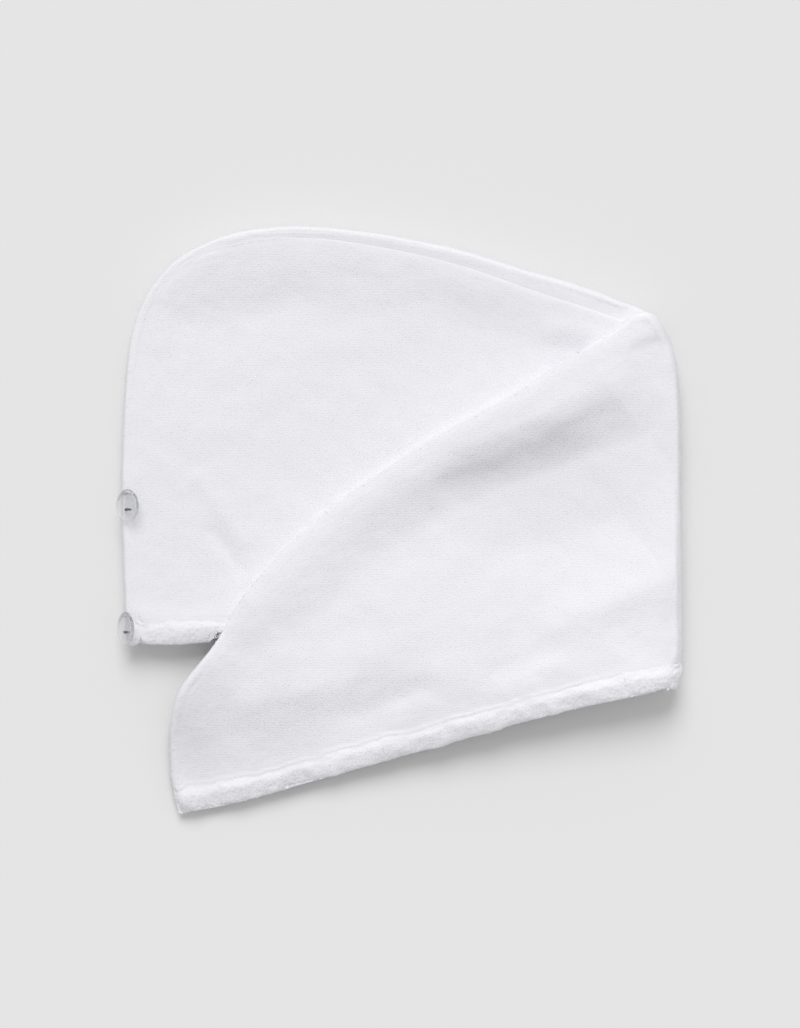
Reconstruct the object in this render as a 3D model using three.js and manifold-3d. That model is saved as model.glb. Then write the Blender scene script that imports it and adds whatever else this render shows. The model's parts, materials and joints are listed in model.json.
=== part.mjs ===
// Hair turban towel, lying flat with its tail folded over its hood.
// Millimetres. +X runs from the seamed back edge to the fold, +Y from the opening to the crown, +Z is up.
// Each panel is drawn by its outer face: the hood, the fold and the tail, one after the other. The face is
// then thickened inwards, so the head goes between the two panels, and the panels stay open along the hem.

import * as THREE from 'three';
import { mergeVertices } from 'three/addons/utils/BufferGeometryUtils.js';
import Module from 'manifold-3d';

const wasm = await Module();
wasm.setup();

// Driving dimensions of the towel
const hoodWidth = 333;
const hoodHeight = 251;
const tailOverhang = 101;
const clothWall = 3;
const headHollow = 8;
const hairHollow = 6.8;
const leastHollow = 0.8;
const rimRoll = 7;
const wrapWidth = 15;
const seamRise = 3;
const seamSlope = 30;
const seamGroove = 1.5;
const grooveReach = 5;
const stripShare = 0.6;
const seamGap = 0.3;

// Driving dimensions of the hems and of the fold
const hemWidth = 13.5;
const hemThickness = 3.9;
const hemRaise = 0.7;
const layGap = 1;
const foldReach = 11;
const foldDip = 3.5;
const foldLift = 0.5;
const foldSlope = 50;
const foldClear = 2;
const throatReach = 2.5;
const droopStart = 4;
const droopLength = 90;
const tipRest = 3.2;

// Driving dimensions of the buttons and of the loop that they hold
const buttonDiameter = 20;
const buttonRim = 2.6;
const buttonWeb = 1.5;
const rimBand = 2.4;
const holeDiameter = 2;
const holeSpacing = 4.6;
const threadDiameter = 1.1;
const buttonInset = 4.6;
const seatReach = 14;
const loopCord = 2;
const loopWidth = 16;
const loopLength = 34;

// Levels that follow from the sizes above
const hoodLevel = 2 * clothWall + headHollow;
const tailLevel = hoodLevel + layGap;

// How finely the faces are divided
const hoodColumns = 15;
const foldColumns = 6;
const tailColumns = 20;
const crossRows = 13;
const quarterRows = 3;
const rimRows = 2 * quarterRows + 1;
const crowding = 0.55;
const foldStart = crossRows + hoodColumns;

// Outlines seen from above. across is a share of the hood's width and up a share of its height, or of the
// tail's overhang where it is negative. wrap is the strip's share of its widest.
const hoodSeam = [
  { across: 0.0, up: 0.0, wrap: 0.6 },
  { across: -0.004, up: 0.22, wrap: 0.6 },
  { across: -0.008, up: 0.42, wrap: 0.6 },
  { across: -0.002, up: 0.58, wrap: 0.58 },
  { across: 0.006, up: 0.713, wrap: 0.54 },
  { across: 0.024, up: 0.797, wrap: 0.52 },
  { across: 0.06, up: 0.873, wrap: 0.5 },
  { across: 0.114, up: 0.935, wrap: 0.5 },
  { across: 0.204, up: 0.984, wrap: 0.5 },
  { across: 0.303, up: 1.0, wrap: 0.52 },
  { across: 0.384, up: 0.996, wrap: 0.56 },
  { across: 0.492, up: 0.976, wrap: 0.62 },
  { across: 0.6, up: 0.948, wrap: 0.7 },
  { across: 0.709, up: 0.904, wrap: 0.85 },
  { across: 0.817, up: 0.865, wrap: 1.0 },
  { across: 0.92, up: 0.812, wrap: 0.9 },
];
const hoodHem = [
  { across: 0.0, up: 0.0 },
  { across: 0.09, up: 0.003 },
  { across: 0.16, up: 0.012 },
  { across: 0.45, up: 0.0 },
  { across: 0.75, up: -0.08 },
  { across: 0.97, up: -0.22 },
];
const foldLine = [
  { across: 0.985, up: -0.25 },
  { across: 0.999, up: -0.11 },
  { across: 1.0, up: 0.06 },
  { across: 0.998, up: 0.32 },
  { across: 0.994, up: 0.63 },
  { across: 0.98, up: 0.72 },
  { across: 0.948, up: 0.79 },
];
const tailSeam = [
  { across: 0.918, up: 0.785, wrap: 0.8 },
  { across: 0.877, up: 0.737, wrap: 0.8 },
  { across: 0.82, up: 0.697, wrap: 0.8 },
  { across: 0.715, up: 0.602, wrap: 0.8 },
  { across: 0.58, up: 0.506, wrap: 0.8 },
  { across: 0.477, up: 0.422, wrap: 0.8 },
  { across: 0.366, up: 0.319, wrap: 0.8 },
  { across: 0.276, up: 0.207, wrap: 0.76 },
  { across: 0.207, up: 0.104, wrap: 0.7 },
  { across: 0.168, up: 0.01, wrap: 0.62 },
  { across: 0.13, up: -0.13, wrap: 0.55 },
  { across: 0.1, up: -0.26, wrap: 0.5 },
  { across: 0.083, up: -0.42, wrap: 0.5 },
  { across: 0.079, up: -0.63, wrap: 0.5 },
  { across: 0.085, up: -0.85, wrap: 0.5 },
  { across: 0.103, up: -1.0, wrap: 0.5 },
];
const tailHem = [
  { across: 0.985, up: -0.25 },
  { across: 0.955, up: -0.275 },
  { across: 0.853, up: -0.345 },
  { across: 0.781, up: -0.4 },
  { across: 0.709, up: -0.465 },
  { across: 0.565, up: -0.6 },
  { across: 0.42, up: -0.735 },
  { across: 0.309, up: -0.84 },
  { across: 0.228, up: -0.915 },
  { across: 0.144, up: -0.98 },
  { across: 0.103, up: -1.0 },
];

// Where each seam turns its corner, as a share of its length
const crownTurn = 0.46;
const tipTurn = 0.78;

// Folds and dents, each a soft bank along a line from one place to another. width is a share of the hood's
// width. rise is a share of the hollow under the face, and a dip where it is negative.
const hoodFolds = [
  { x1: 0.09, y1: 0.72, x2: 0.33, y2: 0.8, width: 0.075, rise: -0.2 },
  { x1: 0.5, y1: 0.78, x2: 0.8, y2: 0.68, width: 0.06, rise: -0.2 },
  { x1: 0.13, y1: 0.4, x2: 0.21, y2: 0.25, width: 0.024, rise: 0.13 },
  { x1: 0.16, y1: 0.27, x2: 0.205, y2: 0.17, width: 0.02, rise: -0.12 },
  { x1: 0.1, y1: 0.55, x2: 0.3, y2: 0.62, width: 0.08, rise: 0.1 },
  { x1: 0.3, y1: 0.45, x2: 0.7, y2: 0.72, width: 0.04, rise: 0.08 },
];
const tailFolds = [
  { x1: 0.9, y1: 0.71, x2: 0.24, y2: 0.06, width: 0.04, rise: 0.3 },
  { x1: 0.87, y1: 0.55, x2: 0.6, y2: 0.375, width: 0.07, rise: -0.85 },
  { x1: 0.6, y1: 0.375, x2: 0.4, y2: 0.27, width: 0.05, rise: -0.5 },
  { x1: 0.4, y1: 0.25, x2: 0.2, y2: -0.1, width: 0.035, rise: -0.3 },
  { x1: 0.95, y1: 0.16, x2: 0.77, y2: -0.02, width: 0.05, rise: 0.35 },
  { x1: 0.72, y1: 0.0, x2: 0.66, y2: -0.15, width: 0.04, rise: -0.3 },
  { x1: 0.52, y1: -0.24, x2: 0.41, y2: -0.4, width: 0.04, rise: -0.35 },
  { x1: 0.5, y1: 0.12, x2: 0.3, y2: -0.25, width: 0.06, rise: 0.2 },
  { x1: 0.13, y1: -0.3, x2: 0.14, y2: -0.8, width: 0.06, rise: -0.3 },
];

// Where the buttons are sewn: up the back edge, and how far each leans out from straight up
const buttonPlaces = [
  { name: 'upper_button', up: 0.327, lean: 46 },
  { name: 'lower_button', up: 0.036, lean: 60 },
];

const terry = new THREE.MeshStandardMaterial({ color: 0xe9e8ec, roughness: 0.95, metalness: 0 });
const hemTerry = new THREE.MeshStandardMaterial({ color: 0xefeef2, roughness: 0.95, metalness: 0 });
const clearPlastic = new THREE.MeshStandardMaterial({ color: 0xdcdee2, roughness: 0.15, metalness: 0 });
const sewingThread = new THREE.MeshStandardMaterial({ color: 0x8f8d93, roughness: 0.8, metalness: 0 });
const elastic = new THREE.MeshStandardMaterial({ color: 0xe6e5e8, roughness: 0.7, metalness: 0 });

function place(row) {
  const height = row.up < 0 ? tailOverhang : hoodHeight;
  return new THREE.Vector3(row.across * hoodWidth, row.up * height, (row.wrap ?? 0) * wrapWidth);
}

function curveOf(rows) {
  return new THREE.CatmullRomCurve3(rows.map(place), false, 'centripetal');
}

const curves = {
  hoodSeam: curveOf(hoodSeam),
  hoodHem: curveOf(hoodHem),
  foldLine: curveOf(foldLine),
  tailSeam: curveOf(tailSeam),
  tailHem: curveOf(tailHem),
};

// Shares from 0 to 1 that crowd towards both ends
function spread(count) {
  return Array.from({ length: count + 1 }, (_, step) => {
    const share = step / count;
    return share - crowding * Math.sin(2 * Math.PI * share) / (2 * Math.PI);
  });
}

function ease(share) {
  return THREE.MathUtils.smoothstep(share, 0, 1);
}

// A point of an outline, moved in from it. side is 1 where outside lies left of the way along, else -1.
function insetPlace(curve, share, side, insetOf) {
  const outline = curve.getPointAt(THREE.MathUtils.clamp(share, 0, 1));
  const along = curve.getTangentAt(THREE.MathUtils.clamp(share, 0, 1));
  const out = new THREE.Vector3(-along.y, along.x, 0).normalize().multiplyScalar(side);
  const inset = insetOf(outline.z);
  return { point: outline.setZ(0).addScaledVector(out, -inset), out };
}

// How far in from the outline each panel's face ends, and how far in from the fold its bend begins
const backLayer = { insetOf: () => rimRoll, bendInset: foldReach };
const frontLayer = { insetOf: (wrap) => wrap + seamGap, bendInset: foldReach + foldClear };
const stitchInset = () => hemWidth + seamGap;

// The four edges of the hood or of the tail, each a function of its share
function hoodEdges({ insetOf, bendInset }) {
  const seam = curves.hoodSeam;
  const fold = curves.foldLine;
  const first = stitchInset() / seam.getLength();
  const low = stitchInset() / fold.getLength();
  const high = 1 - insetOf(place(hoodSeam.at(-1)).z) / fold.getLength();
  const bendStart = (v) => {
    const point = fold.getPointAt(THREE.MathUtils.lerp(low, high, v)).setZ(0);
    point.x -= bendInset;
    return { point };
  };
  return {
    start: (v) => insetPlace(seam, THREE.MathUtils.lerp(first, crownTurn, v), 1, insetOf),
    seam: (u) => insetPlace(seam, THREE.MathUtils.lerp(crownTurn, 1, u), 1, insetOf),
    hem: (u) => insetPlace(curves.hoodHem, u, -1, stitchInset),
    end: bendStart,
  };
}

function tailEdges(layer) {
  const seam = curves.tailSeam;
  const last = 1 - stitchInset() / seam.getLength();
  return {
    start: hoodEdges(layer).end,
    seam: (u) => insetPlace(seam, tipTurn * u, -1, layer.insetOf),
    hem: (u) => insetPlace(curves.tailHem, u, 1, stitchInset),
    end: (v) => insetPlace(seam, THREE.MathUtils.lerp(last, tipTurn, v), -1, layer.insetOf),
  };
}

// An edge moved a little at each end, so that it meets its neighbours in the corners
function fitted(edge, from, to) {
  const startMiss = from.clone().sub(edge(0).point);
  const endMiss = to.clone().sub(edge(1).point);
  return (share) => edge(share).point.addScaledVector(startMiss, 1 - share).addScaledVector(endMiss, share);
}

// Columns of places that fill the space between four edges
function fill(edges, columns, rows) {
  const corner = {
    startHem: edges.start(0).point,
    startSeam: edges.start(1).point,
    endHem: edges.end(0).point,
    endSeam: edges.end(1).point,
  };
  const hem = fitted(edges.hem, corner.startHem, corner.endHem);
  const seam = fitted(edges.seam, corner.startSeam, corner.endSeam);
  const blend = (a, b, share) => a.clone().lerp(b, share);
  return columns.map((u) => rows.map((v) => {
    const along = blend(hem(u), seam(u), v);
    const across = blend(edges.start(v).point, edges.end(v).point, u);
    const corners = blend(
      blend(corner.startHem, corner.endHem, u),
      blend(corner.startSeam, corner.endSeam, u),
      v,
    );
    return along.add(across).sub(corners);
  }));
}

// How much of each bank or dip reaches a place
function foldsAt(folds, at) {
  let rise = 0;
  for (const fold of folds) {
    const from = place({ across: fold.x1, up: fold.y1 });
    const to = place({ across: fold.x2, up: fold.y2 });
    const line = new THREE.Line3(from, to);
    const nearest = line.closestPointToPoint(new THREE.Vector3(at.x, at.y, 0), true, new THREE.Vector3());
    const away = Math.hypot(at.x - nearest.x, at.y - nearest.y) / (fold.width * hoodWidth);
    rise += fold.rise * Math.exp(-away * away);
  }
  return rise;
}

const seamSamples = curves.hoodSeam.getSpacedPoints(90);

function seamDistance(at) {
  return Math.min(...seamSamples.map((point) => Math.hypot(at.x - point.x, at.y - point.y) - point.z));
}

function hemAt(x) {
  const share = THREE.MathUtils.clamp(x / hoodWidth, hoodHem[0].across, hoodHem.at(-1).across);
  const next = Math.max(1, hoodHem.findIndex((row) => row.across >= share));
  const before = hoodHem[next - 1];
  const after = hoodHem[next];
  const between = (share - before.across) / (after.across - before.across);
  return THREE.MathUtils.lerp(place(before).y, place(after).y, between);
}

function foldNearness(at) {
  return ease((at.x - (hoodWidth - foldReach - foldSlope)) / foldSlope);
}

// Heights of the outer faces
function hoodTop(at) {
  const away = Math.max(0, seamDistance(at));
  const near = foldNearness(at);
  const rise = seamRise * Math.exp(-((away / seamSlope) ** 2)) * (1 - near);
  const groove = seamGroove * Math.exp(-((away / grooveReach) ** 2)) * (1 - near);
  const folds = headHollow * foldsAt(hoodFolds, at) * (1 - near);
  return hoodLevel + rise - groove + folds - foldDip * near;
}

function tailUnder(at) {
  const beyond = hemAt(at.x) - at.y - droopStart;
  const drop = (tailLevel - tipRest) * ease(beyond / droopLength);
  return tailLevel - drop + foldLift * foldNearness(at);
}

function tailTop(at) {
  const hollow = hairHollow * (1 + foldsAt(tailFolds, at));
  return tailUnder(at) + 2 * clothWall + Math.max(leastHollow, hollow);
}

// The face of a panel: columns of points along the hood, round the fold and along the tail
function panelFace(layer, hoodHeightAt, tailHeightAt, reach) {
  const rows = spread(crossRows);
  const hood = fill(hoodEdges(layer), spread(hoodColumns), rows);
  const tail = fill(tailEdges(layer), spread(tailColumns), rows);
  for (const column of hood) column.forEach((point) => point.setZ(hoodHeightAt(point)));
  for (const column of tail) column.forEach((point) => point.setZ(tailHeightAt(point)));
  const fold = Array.from({ length: foldColumns - 1 }, (_, step) => {
    const turn = Math.PI * (step + 1) / foldColumns;
    return rows.map((_v, row) => {
      const low = hood.at(-1)[row];
      const high = tail[0][row];
      const point = low.clone().lerp(high, (1 - Math.cos(turn)) / 2);
      point.x += reach * Math.sin(turn);
      return point;
    });
  });
  return [...hood, ...fold, ...tail];
}

// The way out of the panel at each step along its seam: seen from above, or round the fold that of the
// front panel's edge
function seamOuts(meeting) {
  const rows = spread(crossRows);
  const hood = hoodEdges(backLayer);
  const tail = tailEdges(backLayer);
  const up = rows.map((v) => hood.start(v).out);
  const crown = spread(hoodColumns).slice(1).map((u) => hood.seam(u).out);
  const fold = meeting.slice(foldStart + 1, foldStart + foldColumns).map((step) => step.out);
  const ridge = spread(tailColumns).map((u) => tail.seam(u).out);
  const tip = rows.slice(0, -1).reverse().map((v) => tail.end(v).out);
  return [...up, ...crown, ...fold, ...ridge, ...tip];
}

// Places of a face's seam edge, from the hood's hem round to the tail's, as [column, row]
function seamPath(face) {
  const lastColumn = face.length - 1;
  const up = face[0].map((_, row) => [0, row]);
  const along = face.slice(1).map((_, step) => [step + 1, crossRows]);
  const down = face[0].slice(0, -1).map((_, row) => [lastColumn, crossRows - 1 - row]);
  return [...up, ...along, ...down];
}

// One section of the rolled edge, from the back panel's flat part round to the front panel's edge
function rimSection(from, to, out, groove) {
  const gap = to.clone().sub(from);
  const end = gap.dot(out);
  const rise = gap.addScaledVector(out, -end);
  const height = rise.length();
  rise.normalize();
  const crest = rimRoll - stripShare * (rimRoll - end);
  return Array.from({ length: rimRows }, (_, step) => {
    let across = end;
    let up = height;
    if (step < quarterRows) {
      const turn = Math.PI / 2 * (step + 1) / quarterRows;
      across = rimRoll * Math.sin(turn);
      up = height / 2 * (1 - Math.cos(turn));
    } else if (step < 2 * quarterRows) {
      const turn = Math.PI / 2 * (step + 1 - quarterRows) / quarterRows;
      across = crest + (rimRoll - crest) * Math.cos(turn);
      up = height / 2 + (height / 2 + groove) * Math.sin(turn);
    }
    return from.clone().addScaledVector(out, across).addScaledVector(rise, up);
  });
}

// An open face as points and four-sided pieces, with a normal at each point
class Face {
  constructor() {
    this.points = [];
    this.quads = [];
  }

  add(point) {
    this.points.push(point);
    return this.points.length - 1;
  }

  addGrid(columns) {
    for (let column = 1; column < columns.length; column += 1) {
      for (let row = 1; row < columns[column].length; row += 1) {
        const before = columns[column - 1];
        const after = columns[column];
        this.quads.push([before[row - 1], before[row], after[row], after[row - 1]]);
      }
    }
  }

  normals() {
    const normals = this.points.map(() => new THREE.Vector3());
    for (const quad of this.quads) {
      const [a, b, c, d] = quad.map((index) => this.points[index]);
      const facing = c.clone().sub(a).cross(d.clone().sub(b));
      for (const index of quad) normals[index].add(facing);
    }
    return normals.map((normal) => normal.normalize());
  }

  // A closed wall: this face, the same face moved in by the wall, and the strips that join their edges
  thickened(wall) {
    const count = this.points.length;
    const normals = this.normals();
    const inner = this.points.map((point, index) => point.clone().addScaledVector(normals[index], -wall));
    const triangles = [];
    const edges = new Map();
    for (const [a, b, c, d] of this.quads) {
      triangles.push(a, b, c, a, c, d);
      triangles.push(count + a, count + c, count + b, count + a, count + d, count + c);
      for (const [from, to] of [[a, b], [b, c], [c, d], [d, a]]) {
        if (!edges.delete(`${to} ${from}`)) edges.set(`${from} ${to}`, [from, to]);
      }
    }
    for (const [from, to] of edges.values()) {
      triangles.push(to, from, count + from, to, count + from, count + to);
    }
    return solidOf([...this.points, ...inner], triangles);
  }
}

function solidOf(points, triangles) {
  const geometry = new THREE.BufferGeometry();
  geometry.setAttribute('position', new THREE.Float32BufferAttribute(points.flatMap((p) => p.toArray()), 3));
  geometry.setIndex(triangles);
  geometry.computeVertexNormals();
  return geometry;
}

// Steps along a face's edge: where it ends, which way its cloth runs out there, and its outer side
function edgeSteps(face, ends, insides) {
  const normals = face.normals();
  return ends.map((end, step) => {
    const point = face.points[end];
    const normal = normals[end];
    const out = point.clone().sub(face.points[insides[step]]);
    out.addScaledVector(normal, -out.dot(normal)).normalize();
    return { point, out, normal };
  });
}

// The neighbour that lies further in from a seam edge
function insideOf(indices, column, row) {
  const lastColumn = indices.length - 1;
  const inColumn = column === 0 ? 1 : Math.min(column, lastColumn - 1);
  const inRow = row === crossRows ? crossRows - 1 : row;
  return indices[inColumn][inRow];
}

// The front panel: the visible side of the hood, the inside of the fold and the underside of the tail
function frontPanel() {
  const columns = panelFace(frontLayer, hoodTop, tailUnder, throatReach);
  const face = new Face();
  const indices = columns.map((column) => column.map((point) => face.add(point)));
  const facing = indices.map((column) => [...column].reverse());
  face.addGrid(facing);
  return { columns, indices, face };
}

// The back panel: the underside of the hood, the outside of the fold, the top of the tail, and the rolled
// edge that wraps round to meet the front panel along the whole seam
function backPanel(front) {
  const columns = panelFace(backLayer, () => 0, tailTop, foldReach);
  const face = new Face();
  const indices = columns.map((column) => column.map((point) => face.add(point)));
  face.addGrid(indices);
  const path = seamPath(columns);
  const frontEdge = path.map(([column, row]) => front.indices[column][row]);
  const frontInside = path.map(([column, row]) => insideOf(front.indices, column, row));
  const meeting = edgeSteps(front.face, frontEdge, frontInside);
  const outs = seamOuts(meeting);
  const rim = path.map(([column, row], step) => {
    const from = columns[column][row];
    const to = meeting[step].point.clone().addScaledVector(meeting[step].out, seamGap);
    const groove = seamGroove * (1 - ease((step - foldStart + foldColumns) / foldColumns));
    const section = rimSection(from, to, outs[step], groove).map((point) => face.add(point));
    return [indices[column][row], ...section];
  });
  face.addGrid(rim);
  return { columns, indices, face, rim };
}

// A turned hem: a soft flat bead along the open edge, thicker than the cloth
function hemBand(steps, raiseAt) {
  const points = [];
  const triangles = [];
  steps.forEach((step, index) => {
    const raise = hemRaise * raiseAt(index);
    const inner = raise - hemThickness;
    const section = [
      { out: 0, up: 0 },
      { out: 0.16, up: raise },
      { out: 0.82, up: raise },
      { out: 1, up: (raise + inner) / 2 },
      { out: 0.82, up: inner },
      { out: 0.16, up: inner },
      { out: 0, up: -clothWall },
    ];
    for (const corner of section) {
      const point = step.point.clone().addScaledVector(step.out, seamGap + corner.out * hemWidth);
      points.push(point.addScaledVector(step.normal, corner.up));
    }
  });
  const sides = points.length / steps.length;
  for (let step = 1; step < steps.length; step += 1) {
    for (let side = 0; side < sides; side += 1) {
      const next = (side + 1) % sides;
      const a = (step - 1) * sides + side;
      const b = (step - 1) * sides + next;
      const c = step * sides + next;
      const d = step * sides + side;
      triangles.push(a, b, c, a, c, d);
    }
  }
  const last = (steps.length - 1) * sides;
  for (let side = 1; side < sides - 1; side += 1) {
    triangles.push(0, side + 1, side);
    triangles.push(last, last + side, last + side + 1);
  }
  return solidOf(points, triangles);
}

// Turns a mesh inside out where its volume comes out negative
function facingOut(geometry) {
  const at = geometry.getAttribute('position');
  const index = geometry.getIndex();
  const corner = (step) => new THREE.Vector3().fromBufferAttribute(at, index.getX(step));
  let volume = 0;
  for (let step = 0; step < index.count; step += 3) {
    volume += corner(step).dot(corner(step + 1).cross(corner(step + 2)));
  }
  if (volume > 0) return geometry;
  const turned = [];
  for (let step = 0; step < index.count; step += 3) {
    turned.push(index.getX(step), index.getX(step + 2), index.getX(step + 1));
  }
  geometry.setIndex(turned);
  return geometry;
}

function asManifold(geometry) {
  const plain = geometry.clone();
  plain.deleteAttribute('normal');
  plain.deleteAttribute('uv');
  const merged = mergeVertices(plain);
  return new wasm.Manifold(new wasm.Mesh({
    numProp: 3,
    vertProperties: new Float32Array(merged.getAttribute('position').array),
    triVerts: new Uint32Array(merged.getIndex().array),
  }));
}

function asGeometry(solid) {
  const mesh = solid.getMesh();
  const geometry = new THREE.BufferGeometry();
  geometry.setAttribute('position', new THREE.BufferAttribute(mesh.vertProperties, 3));
  geometry.setIndex(new THREE.BufferAttribute(mesh.triVerts, 1));
  geometry.computeVertexNormals();
  return geometry;
}

// A round button with a raised rim and two holes, its back at z = 0 and its axis along Z
function buttonGeometry() {
  const radius = buttonDiameter / 2;
  const profile = [
    [0, 0],
    [radius - buttonRim / 3, 0],
    [radius, buttonRim / 3],
    [radius, buttonRim * 2 / 3],
    [radius - rimBand / 4, buttonRim],
    [radius - rimBand * 3 / 4, buttonRim],
    [radius - rimBand, buttonWeb],
    [0, buttonWeb],
  ];
  const disc = new THREE.LatheGeometry(profile.map(([x, y]) => new THREE.Vector2(x, y)), 24);
  disc.rotateX(Math.PI / 2);
  let solid = asManifold(disc);
  for (const side of [-1, 1]) {
    const hole = new THREE.CylinderGeometry(holeDiameter / 2, holeDiameter / 2, 4 * buttonRim, 10);
    hole.rotateX(Math.PI / 2);
    hole.translate(side * holeSpacing / 2, 0, 0);
    solid = solid.subtract(asManifold(hole));
  }
  return asGeometry(solid);
}

// A round bar of thread or cord along a smooth route
function barAlong(points, diameter, sides, steps) {
  const section = new THREE.Shape();
  for (let side = 0; side < sides; side += 1) {
    const turn = 2 * Math.PI * side / sides;
    const x = diameter / 2 * Math.cos(turn);
    const y = diameter / 2 * Math.sin(turn);
    if (side === 0) section.moveTo(x, y);
    else section.lineTo(x, y);
  }
  const route = new THREE.CatmullRomCurve3(points, false, 'centripetal');
  return new THREE.ExtrudeGeometry(section, { steps, extrudePath: route, curveSegments: 1 });
}

// The thread that crosses a button's face and goes down both holes to the cloth
function threadGeometry() {
  const half = holeSpacing / 2;
  const over = buttonWeb + seamGap + threadDiameter / 2;
  return barAlong([
    new THREE.Vector3(-half, 0, 0),
    new THREE.Vector3(-half, 0, buttonWeb / 2),
    new THREE.Vector3(-half * 0.8, 0, over),
    new THREE.Vector3(0, 0, over + seamGap),
    new THREE.Vector3(half * 0.8, 0, over),
    new THREE.Vector3(half, 0, buttonWeb / 2),
    new THREE.Vector3(half, 0, 0),
  ], threadDiameter, 6, 16);
}

// The place on the cloth that a button rests on: the outermost cloth under it along its axis, and then up
// its own slope to where it is sewn
function buttonSeat(cloth, up, lean) {
  const angle = THREE.MathUtils.degToRad(lean);
  const axis = new THREE.Vector3(-Math.sin(angle), 0, Math.cos(angle));
  const slope = new THREE.Vector3(Math.cos(angle), 0, Math.sin(angle));
  const middle = place({ across: 0, up });
  const near = cloth.filter((p) => Math.abs(p.y - middle.y) < seatReach && p.x < 2 * rimRoll);
  const outermost = near.reduce((best, p) => (p.dot(axis) > best.dot(axis) ? p : best));
  const seat = new THREE.Vector3(outermost.x, middle.y, outermost.z);
  seat.addScaledVector(axis, outermost.dot(axis) - seat.dot(axis) + seamGap);
  seat.addScaledVector(slope, buttonInset);
  return { seat, axis };
}

// The elastic loop, lying against the underside of the tail with its two ends at the tip's seam
function loopGeometry() {
  const seam = place(tailSeam.at(-3));
  const start = seam.x + seam.z + seamGap;
  const route = [
    { along: 0, aside: 0.3 },
    { along: 0.4, aside: 0.5 },
    { along: 0.85, aside: 0.4 },
    { along: 1, aside: 0 },
    { along: 0.85, aside: -0.4 },
    { along: 0.4, aside: -0.5 },
    { along: 0, aside: -0.3 },
  ];
  return barAlong(route.map(({ along, aside }) => {
    const at = new THREE.Vector3(start + along * loopLength, seam.y + aside * loopWidth, 0);
    return at.setZ(tailUnder(at) - seamGap - loopCord / 2);
  }), loopCord, 8, 26);
}

const part = new THREE.Group();

function addPiece(name, geometry, material) {
  const mesh = new THREE.Mesh(geometry, material);
  mesh.name = name;
  part.add(mesh);
  return mesh;
}

const front = frontPanel();
const back = backPanel(front);
addPiece('front_panel', facingOut(front.face.thickened(clothWall)), terry);
addPiece('back_panel', facingOut(back.face.thickened(clothWall)), terry);

// The front hem shows on the hood and lies flat under the tail, and the back hem the other way round
const frontEnds = front.indices.map((column) => column[0]);
const frontSteps = edgeSteps(front.face, frontEnds, front.indices.map((column) => column[1]));
const foldBegins = hoodColumns;
const frontRaise = (step) => 1 - ease((step - foldBegins) / foldColumns);
addPiece('front_hem', facingOut(hemBand(frontSteps, frontRaise)), hemTerry);

const rimStart = [...back.rim[0].slice(1)].reverse();
const rimStartInside = [...back.rim[1].slice(1)].reverse();
const rimEnd = back.rim.at(-1).slice(1);
const rimEndInside = back.rim.at(-2).slice(1);
const backEnds = [...rimStart, ...back.indices.map((column) => column[0]), ...rimEnd];
const backInsides = [...rimStartInside, ...back.indices.map((column) => column[1]), ...rimEndInside];
const backRaise = (step) => ease((step - rimRows - foldBegins) / foldColumns);
const backHem = hemBand(edgeSteps(back.face, backEnds, backInsides), backRaise);
addPiece('back_hem', facingOut(backHem), hemTerry);

const hemPoints = backHem.getAttribute('position');
const cloth = Array.from({ length: hemPoints.count }, (_, i) => new THREE.Vector3().fromBufferAttribute(hemPoints, i));
cloth.push(...back.face.points);
for (const { name, up, lean } of buttonPlaces) {
  const { seat, axis } = buttonSeat(cloth, up, lean);
  for (const [pieceName, geometry, material] of [
    [name, buttonGeometry(), clearPlastic],
    [`${name}_thread`, threadGeometry(), sewingThread],
  ]) {
    const mesh = addPiece(pieceName, geometry, material);
    mesh.quaternion.setFromUnitVectors(new THREE.Vector3(0, 0, 1), axis);
    mesh.position.copy(seat);
  }
}
addPiece('button_loop', loopGeometry(), elastic);

// The origin goes under the middle of the box
const box = new THREE.Box3().setFromObject(part, true);
const middle = box.getCenter(new THREE.Vector3());
part.position.set(-middle.x, -middle.y, -box.min.z);

export default part;
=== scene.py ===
"""A white terry hair turban, lying flat with its tail over its hood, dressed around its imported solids."""

import json
import math

import bmesh
import bpy
import numpy as np
from bpy.props import FloatProperty, FloatVectorProperty, IntProperty, PointerProperty
from mathutils import Matrix, Vector, noise
from mathutils.bvhtree import BVHTree

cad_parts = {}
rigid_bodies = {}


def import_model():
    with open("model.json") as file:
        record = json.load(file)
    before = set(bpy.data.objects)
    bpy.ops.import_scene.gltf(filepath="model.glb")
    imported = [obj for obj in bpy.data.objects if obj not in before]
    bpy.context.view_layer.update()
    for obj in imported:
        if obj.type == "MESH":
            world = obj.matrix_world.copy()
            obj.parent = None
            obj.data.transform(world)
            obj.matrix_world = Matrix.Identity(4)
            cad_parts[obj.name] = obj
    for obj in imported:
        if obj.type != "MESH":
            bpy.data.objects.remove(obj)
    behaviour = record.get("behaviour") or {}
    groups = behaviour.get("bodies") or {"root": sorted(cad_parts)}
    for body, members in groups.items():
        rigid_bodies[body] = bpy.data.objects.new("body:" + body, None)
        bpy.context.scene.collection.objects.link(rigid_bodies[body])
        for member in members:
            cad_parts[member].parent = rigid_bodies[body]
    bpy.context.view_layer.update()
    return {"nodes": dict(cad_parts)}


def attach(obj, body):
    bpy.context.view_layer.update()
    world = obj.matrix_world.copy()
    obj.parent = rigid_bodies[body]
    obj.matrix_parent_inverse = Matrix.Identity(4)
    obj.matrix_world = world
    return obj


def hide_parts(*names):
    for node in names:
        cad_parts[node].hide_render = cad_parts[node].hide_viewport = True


bl_info = {
    "name": "Hair Turban Towel",
    "version": (1, 0, 0),
    "blender": (4, 5, 0),
    "location": "View3D > Sidebar > Turban",
    "description": "Dresses a folded terry hair turban: cloth, pile, hems, buttons and stage",
    "category": "Object",
}

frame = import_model()

MM = 0.001
BODY = "root"

# Where the hood's lower left corner lies in the part's frame
HOOD_CORNER = np.array((-164.04, -74.3)) * MM

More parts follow.
